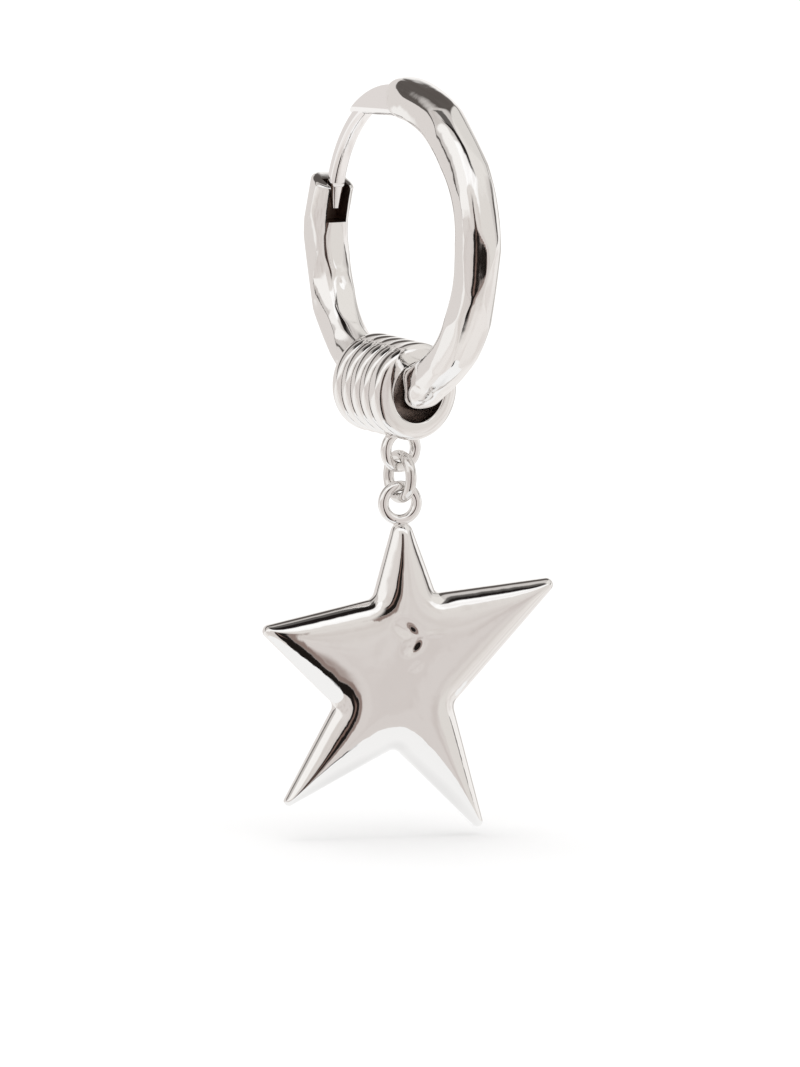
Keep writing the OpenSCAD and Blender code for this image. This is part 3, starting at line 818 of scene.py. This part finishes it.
def soft_depth(flat, outline):
    """Smooth distance to the outline, seen all round: 1 / depth^3 is the average over every
    direction of 1 / reach^3, where reach is how far off the outline is that way. It is the plain
    distance close to an edge, and has no crease where two edges are equally far."""
    after = np.roll(outline, -1, 0)
    way = after - outline
    way /= np.hypot(*way.T)[:, None]
    out = np.stack([way[:, 1], -way[:, 0]], 1)
    turning = np.sign((outline[:, 0] * after[:, 1] - outline[:, 1] * after[:, 0]).sum())
    depth = np.zeros(len(flat))
    for begin in range(0, len(flat), 2000):
        p = flat[begin:begin + 2000, None]
        a, b = outline - p, after - p
        d = (a * out).sum(2) * turning
        sin_a = (a * way).sum(2) / np.maximum(np.hypot(a[..., 0], a[..., 1]), 1e-9)
        sin_b = (b * way).sum(2) / np.maximum(np.hypot(b[..., 0], b[..., 1]), 1e-9)
        seen = sin_b - sin_a - (sin_b ** 3 - sin_a ** 3) / 3
        share = np.sign(d) * seen / np.maximum(np.abs(d), 1e-3) ** 3
        depth[begin:begin + 2000] = (0.75 * np.maximum(share.sum(1), 1e-9)) ** (-1 / 3)
    return depth


class EARRING_OT_star(Operator):
    """Puffed cast star with the ring soldered to its top arm"""
    bl_idname = "earring.star"
    bl_label = "Puffed star"

    def execute(self, context):
        s, w = in_mm(context.scene.ear_star), in_mm(context.scene.ear_wire)
        outline = star_outline(s.width, s.height)
        middle = STAR_MIDDLE * (s.width, s.height)
        star = start("star_body", bpy.ops.mesh.primitive_circle_add, vertices=len(outline), radius=1)
        move_points(star, np.stack([outline[:, 0], 0 * outline[:, 0], outline[:, 1]], 1))
        # Rows of the face, close together at its edge, as shares of the way from the middle.
        shares = 1 - (1 - CORE_SHARE) * np.linspace(0, 1, FACE_ROWS + 1) ** 1.5
        edit(star)
        choose_all()
        for before, after in zip(shares[:-1], shares[1:]):
            bpy.ops.mesh.extrude_region_move()
            factor = after / before
            bpy.ops.transform.resize(value=(factor, factor, factor),
                                     center_override=(middle[0], 0, middle[1]))
        bpy.ops.mesh.edge_face_add()
        bpy.ops.mesh.poke()
        bpy.ops.object.mode_set(mode="OBJECT")
        self.inflate(star, s, outline, middle)
        pick(star)
        bpy.ops.object.modifier_add(type="MIRROR")
        mirror = star.modifiers[-1]
        mirror.use_axis = (False, True, False)
        mirror.merge_threshold = 0.0005
        bpy.ops.object.modifier_apply(modifier=mirror.name)
        self.dent(star)
        turn = Matrix.Rotation(math.atan2(STAR_NORMAL.x, -STAR_NORMAL.y), 4, "Z")
        ring_mid = w.star_ring / 2 + w.wire / 2 - s.sink
        ring = wire_ring("star_ring", w.star_ring / 2, w.wire / 2,
                         Matrix.Translation((0, 0, ring_mid)) @ around_x(90))
        boolean(star, ring, "UNION")
        for across, up, size in SOLDER_DROPS:
            drop = start("solder", bpy.ops.mesh.primitive_uv_sphere_add, scale=size, segments=32,
                         ring_count=16, radius=1, location=(across, 0, up))
            boolean(star, drop, "UNION")
        top = LINK_LOW + Vector((0, 0, w.wire + w.gap - w.star_ring / 2 - ring_mid))
        mat = polished_metal("mirror polished cast silver")
        finish_piece(star, Matrix.Translation(top) @ turn, "star_body", "star", mat, 60)
        return {"FINISHED"}

    @staticmethod
    def inflate(star, s, outline, middle):
        """Raises the flat face to its puffed height, towards the front."""
        co = points_of(star)
        flat = co[:, [0, 2]]
        left = np.exp(-soft_depth(flat, outline) / s.shoulder)
        left[:len(outline)] = 1
        reach = np.hypot(*(flat - middle).T) / (s.width / 2)
        co[:, 1] = -s.thick / 2 * np.sqrt(1 - left ** 2) * (1 - s.thinning * reach ** 2)
        move_points(star, co)

    @staticmethod
    def dent(star):
        """A few small casting dents near the middle of the front face."""
        co = points_of(star)
        front = co[:, 1] < 0
        for across, down, long, wide, turn, depth in STAR_DENTS:
            a = math.radians(turn)
            x, z = co[:, 0] - across, co[:, 2] + down
            u = (x * math.cos(a) + z * math.sin(a)) / long
            v = (z * math.cos(a) - x * math.sin(a)) / wide
            co[:, 1] += np.where(front, depth * np.exp(-(u ** 2 + v ** 2)), 0)
        move_points(star, co)


# Pin and stage.

class EARRING_OT_pin(Operator):
    """Finish of the small hinge pin"""
    bl_idname = "earring.pin"
    bl_label = "Hinge pin"

    def execute(self, context):
        pin = frame["nodes"]["hinge_pin"]
        mat = polished_metal("polished pin silver")
        pin.data.materials.clear()
        pin.data.materials.append(mat)
        return {"FINISHED"}


# The camera's place round the hoop's middle and its tilt in degrees, and its distance.
CAMERA_AZIMUTH = -31.4
CAMERA_ELEVATION = 3.6
CAMERA_TILT = 5.41
CAMERA_DISTANCE = 500
# Its focal length in picture points, the picture's size and where the hoop's middle shows in it.
FOCAL_PX = 9200
PICTURE = (800, 1067)
AIM_PX = (401.1, 242.4)
# Height of the sensor, in millimetres.
SENSOR = 36

# The tent round the mirror surfaces. Tilt is 0 straight up, 90 towards the camera, -90 behind and 180
# straight down. Side is the share of a direction that points to the picture's right.
TENT_BY_TILT = ((-180, "e6e2df"), (-60, "f6f4f2"), (-52, "5e5956"), (-24, "57524f"), (-16, "cac6c3"),
                (28, "cfcbc8"), (31, "ffffff"), (49, "ffffff"), (52, "dedad6"), (98, "d4cecb"),
                (112, "d3cdca"), (140, "dad5d1"), (165, "e9e5e2"), (180, "e6e2df"))
# Patches laid over the tent: side, half width and softness; tilt, half width and softness; how far it
# leans sideways per degree; its strength and colour.
TENT_PATCHES = (
    # The grey walls of the room behind, left and right.
    (-0.60, 0.46, 0.05, -106, 59, 6, 0, 1, "efedeb"),
    (-0.60, 0.46, 0.05, -79, 32, 4, 0, 1, "d8d3d0"),
    (0.58, 0.13, 0.04, -90, 30, 3, 0, 1, "bdb9b5"),
    # White cards above the left and above the right, and a pale grey one at the right.
    (-0.78, 0.30, 0.04, 48, 26, 5, 0, 1, "f3f1ef"),
    (1.0, 0.16, 0.03, 84, 56, 4, 0, 1, "dbd7d3"),
    (0.64, 0.27, 0.05, -10, 40, 4, 0, 0.85, "e6e3df"),
    # The unlit gap overhead, which slants from the back left to the front right and is nearly black
    # in its front half.
    (0.033, 0.29, 0.06, 12, 19, 3, 0.016, 1, "5d5a58"),
    (0.033, 0.29, 0.06, 21, 10, 3, 0.016, 1, "1d1918"),
    # The dark opening in front, with a brown fringe at its right and a brown fold in its upper half.
    (0.24, 0.05, 0.03, 120, 14, 6, -0.0022, 0.8, "85716a"),
    (0.18, 0.045, 0.02, 105, 42, 5, -0.0022, 0.85, "755f57"),
    (0.0, 0.135, 0.012, 105, 42, 5, -0.0022, 1, "1c1816"),
    (0.02, 0.03, 0.012, 86, 18, 6, 0, 0.85, "7d675f"),
)
TENT_STRENGTH = 1.12
# Radii of the floor and of the glowing card that paints the lit paper, and how far they lie under the star's
# lowest tip.
FLOOR_R = 160
CARD_R = 16
FLOOR_DROP = 0.4
CARD_DROP = 1.1
PAPER = "f6f6f6"
# The card's painted dark brink, where the painted table ends: its turn from the camera's side, how squarely
# it faces that way and how far in from the edge it starts, each with a soft start, and what light is left
# there.
BRINK_TURN = 3
BRINK_FACING = (0.93, 0.96)
BRINK_INSET = (2.2, 1.8)
BRINK_LIGHT = 0.012
# The star's painted shadow on the card: where it lightens, from its middle outwards, and its light.
SHADE_REACH = (1.5, 5)
SHADE_LIGHT = (0.9, 0.985)
# The overhead lamp: diameter, height and power in watts.
LAMP_SIZE = 200
LAMP_HEIGHT = 450
LAMP_WATTS = 0.35


class EARRING_OT_stage(Operator):
    """White floor, white studio with dark strips for the mirror surfaces, a lamp and the camera"""
    bl_idname = "earring.stage"
    bl_label = "Studio and camera"

    def execute(self, context):
        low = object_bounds()[0]
        floor = start("studio_floor", bpy.ops.mesh.primitive_circle_add, vertices=128,
                      radius=FLOOR_R * MM, fill_type="NGON", location=(0, 0, low[2] - FLOOR_DROP * MM))
        # Matt white paper: no gloss, so it shows only the softest shadows.
        paper = bpy.data.materials.new("matt white paper")
        tree = bare_tree(paper)
        shade = add_node(tree, "ShaderNodeBsdfPrincipled", in_Base_Color=linear(PAPER), in_Roughness=0.9)
        add_node(tree, "ShaderNodeOutputMaterial", [(shade.outputs["BSDF"], "Surface")])
        floor.data.materials.append(paper)
        floor.visible_glossy = False
        # The mirror surfaces see a glowing card instead of the floor: painted floor light, with a painted
        # shadow of the star and a painted dark brink.
        self.card(low)
        floor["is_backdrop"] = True
        self.camera(context)
        self.studio(context)
        self.softbox()
        context.scene.view_settings.view_transform = "Standard"
        context.scene.view_settings.look = "None"
        return {"FINISHED"}

    @staticmethod
    def card(low):
        """A glowing disc of painted light under the star, standing in for the lit paper. Only the mirror
        surfaces see it, with a painted shadow of the star and a painted dark brink of the table towards the
        camera."""
        middle = (LINK_LOW.x * MM, LINK_LOW.y * MM, low[2] - CARD_DROP * MM)
        card = start("studio_card", bpy.ops.mesh.primitive_circle_add, vertices=96, radius=CARD_R * MM,
                     fill_type="NGON", location=middle)
        card.visible_camera = card.visible_diffuse = card.visible_shadow = False
        # Painted light of evenly lit white paper, painted a little dimmer in the star's shadow and painted
        # unlit past its brink.
        lit = bpy.data.materials.new("lit paper")
        tree = bare_tree(lit)
        where = add_node(tree, "ShaderNodeTexCoord").outputs["Object"]
        flat = add_node(tree, "ShaderNodeVectorMath", [(where, 0)], operation="SUBTRACT",
                        in_1=middle).outputs[0]
        reach = add_node(tree, "ShaderNodeVectorMath", [(flat, 0)], operation="LENGTH").outputs["Value"]
        a = math.radians(CAMERA_AZIMUTH + BRINK_TURN)
        ahead = add_node(tree, "ShaderNodeVectorMath", [(flat, 0)], operation="DOT_PRODUCT",
                         in_1=(math.sin(a), -math.cos(a), 0)).outputs["Value"]
        share = add_node(tree, "ShaderNodeMath", [(ahead, 0), (reach, 1)], operation="DIVIDE").outputs[0]
        near = add_node(tree, "ShaderNodeMapRange", [(share, "Value")], in_1=BRINK_FACING[0],
                        in_2=BRINK_FACING[1]).outputs[0]
        edge = add_node(tree, "ShaderNodeMapRange", [(reach, "Value")],
                        in_1=(CARD_R - BRINK_INSET[0]) * MM, in_2=(CARD_R - BRINK_INSET[1]) * MM).outputs[0]
        brink = add_node(tree, "ShaderNodeMath", [(near, 0), (edge, 1)], operation="MULTIPLY").outputs[0]
        # Painted shadow of the star, dimmest at the card's middle.
        painted_star_shadow = add_node(tree, "ShaderNodeMapRange", [(reach, "Value")], in_1=SHADE_REACH[0] * MM,
                          in_2=SHADE_REACH[1] * MM, in_3=SHADE_LIGHT[0], in_4=SHADE_LIGHT[1]).outputs[0]
        level = add_node(tree, "ShaderNodeMapRange", [(brink, "Value"), (painted_star_shadow, 3)],
                         in_4=BRINK_LIGHT).outputs[0]
        glow = add_node(tree, "ShaderNodeEmission", [(level, "Strength")])
        add_node(tree, "ShaderNodeOutputMaterial", [(glow.outputs[0], "Surface")])
        card.data.materials.append(lit)
        card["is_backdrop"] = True

    @staticmethod
    def camera(context):
        """The camera looks along CAMERA_AZIMUTH, a little down, from half a metre."""
        a, e = math.radians(CAMERA_AZIMUTH), math.radians(CAMERA_ELEVATION)
        back = Vector((math.sin(a) * math.cos(e), -math.cos(a) * math.cos(e), math.sin(e)))
        data = bpy.data.cameras.new("camera")
        camera = bpy.data.objects.new("camera", data)
        context.scene.collection.objects.link(camera)
        camera.location = (HOOP_MIDDLE + back * CAMERA_DISTANCE) * MM
        camera.rotation_euler = (math.radians(90 - CAMERA_TILT), 0, a)
        data.sensor_fit = "VERTICAL"
        data.sensor_height = SENSOR
        data.lens = SENSOR * FOCAL_PX / PICTURE[1]
        data.clip_start = 0.01
        data.clip_end = 10
        # The tilt aims at the picture's middle, so only a small shift sideways and upwards is left.
        right = Vector((math.cos(a), math.sin(a), 0))
        t = math.radians(CAMERA_TILT)
        view = Vector((-math.sin(a) * math.cos(t), math.cos(a) * math.cos(t), -math.sin(t)))
        up = right.cross(view)
        to = HOOP_MIDDLE * MM - camera.location
        x = PICTURE[0] / 2 + FOCAL_PX * to.dot(right) / to.dot(view)
        y = PICTURE[1] / 2 - FOCAL_PX * to.dot(up) / to.dot(view)
        data.shift_x = (x - AIM_PX[0]) / PICTURE[1]
        data.shift_y = -(y - AIM_PX[1]) / PICTURE[1]
        context.scene.camera = camera

    @staticmethod
    def studio(context):
        """The tent that the mirror surfaces see. The camera itself sees plain white."""
        world = bpy.data.worlds.new("white tent")
        context.scene.world = world
        tree = bare_tree(world)
        a = math.radians(CAMERA_AZIMUTH)
        way = add_node(tree, "ShaderNodeTexCoord").outputs["Generated"]
        axes = ((math.sin(a), -math.cos(a), 0), (math.cos(a), math.sin(a), 0), (0, 0, 1))
        to_camera, side, up = (add_node(tree, "ShaderNodeVectorMath", [(way, 0)], operation="DOT_PRODUCT",
                                        in_1=axis).outputs["Value"] for axis in axes)
        turn = add_node(tree, "ShaderNodeMath", [(to_camera, 0), (up, 1)], operation="ARCTAN2").outputs[0]
        tilt = add_node(tree, "ShaderNodeMath", [(turn, 0)], operation="DEGREES").outputs[0]
        share = add_node(tree, "ShaderNodeMapRange", [(tilt, "Value")], in_1=-180, in_2=180).outputs[0]
        tent = add_node(tree, "ShaderNodeValToRGB", [(share, "Fac")],
                        [((at + 180) / 360, code) for at, code in TENT_BY_TILT]).outputs["Color"]
        # Light falls unevenly on the cloth of the tent.
        cloud = add_node(tree, "ShaderNodeTexNoise", [(way, "Vector")], in_Scale=4.5, in_Detail=2.0)
        dull = add_node(tree, "ShaderNodeMapRange", [(cloud.outputs["Fac"], "Value")], in_1=0.45,
                        in_2=0.65, in_3=0.0, in_4=0.35).outputs[0]
        tent = add_node(tree, "ShaderNodeMix", [(dull, "Factor"), (tent, 6)], data_type="RGBA",
                        blend_type="MULTIPLY", in_7=linear("dad3d0")).outputs[2]
        for patch in TENT_PATCHES:
            side_at, side_half, side_soft, tilt_at, tilt_half, tilt_soft, lean, strength, code = patch
            upright = add_node(tree, "ShaderNodeMath", [(tilt, 0), (side, 2)], operation="MULTIPLY_ADD",
                               in_1=-lean).outputs[0]
            masks = []
            for value, at, half, soft, most in ((upright, side_at - lean * tilt_at, side_half, side_soft, 1),
                                                (tilt, tilt_at, tilt_half, tilt_soft, strength)):
                off = add_node(tree, "ShaderNodeMath", [(value, 0)], operation="SUBTRACT", in_1=at).outputs[0]
                off = add_node(tree, "ShaderNodeMath", [(off, 0)], operation="ABSOLUTE").outputs[0]
                masks.append(add_node(tree, "ShaderNodeMapRange", [(off, "Value")],
                                      interpolation_type="SMOOTHSTEP", in_1=half - soft, in_2=half + soft,
                                      in_3=most, in_4=0.0).outputs[0])
            mask = add_node(tree, "ShaderNodeMath", list(zip(masks, (0, 1))), operation="MULTIPLY").outputs[0]
            tent = add_node(tree, "ShaderNodeMix", [(mask, "Factor"), (tent, 6)], data_type="RGBA",
                            in_7=linear(code)).outputs[2]
        path = add_node(tree, "ShaderNodeLightPath").outputs
        for ray, code in (("Is Camera Ray", "ffffff"), ("Is Diffuse Ray", "f8f8f8")):
            tent = add_node(tree, "ShaderNodeMix", [(path[ray], "Factor"), (tent, 6)], data_type="RGBA",
                            in_7=linear(code)).outputs[2]
        back = add_node(tree, "ShaderNodeBackground", [(tent, "Color")], in_Strength=TENT_STRENGTH)
        add_node(tree, "ShaderNodeOutputWorld", [(back.outputs["Background"], "Surface")])

    @staticmethod
    def softbox():
        """One big soft lamp overhead deepens the soft shadows on the paper."""
        data = bpy.data.lights.new("overhead softbox", "AREA")
        lamp = bpy.data.objects.new("overhead softbox", data)
        bpy.context.scene.collection.objects.link(lamp)
        data.shape = "DISK"
        data.size = LAMP_SIZE * MM
        data.energy = LAMP_WATTS
        lamp.location = (0, 0, LAMP_HEIGHT * MM)
        lamp.visible_glossy = False


# Add-on.

class EARRING_PT_panel(Panel):
    """The earring's pieces in the 3D view's sidebar"""
    bl_idname = "EARRING_PT_panel"
    bl_label = "Hoop charm earring"
    bl_space_type = "VIEW_3D"
    bl_region_type = "UI"
    bl_category = "Earring"

    def draw(self, context):
        for group in SETTINGS:
            box = self.layout.box()
            settings = getattr(context.scene, group)
            for name in settings.__annotations__:
                box.prop(settings, name)
        for operator in OPERATORS:
            self.layout.operator(operator.bl_idname)


OPERATORS = (EARRING_OT_hoop, EARRING_OT_pin, EARRING_OT_post, EARRING_OT_bead, EARRING_OT_jump_ring,
             EARRING_OT_star, EARRING_OT_stage)


def register():
    for cls in (*SETTINGS.values(), *OPERATORS, EARRING_PT_panel):
        bpy.utils.register_class(cls)
    for name, group in SETTINGS.items():
        setattr(bpy.types.Scene, name, PointerProperty(type=group))


def unregister():
    for name in SETTINGS:
        delattr(bpy.types.Scene, name)
    for cls in reversed((*SETTINGS.values(), *OPERATORS, EARRING_PT_panel)):
        bpy.utils.unregister_class(cls)


def main():
    register()
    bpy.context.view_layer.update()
    deselect()
    ops = bpy.ops.earring
    for build in (ops.hoop, ops.pin, ops.post, ops.bead, ops.jump_ring, ops.star, ops.stage):
        build()


if __name__ == "__main__":
    main()
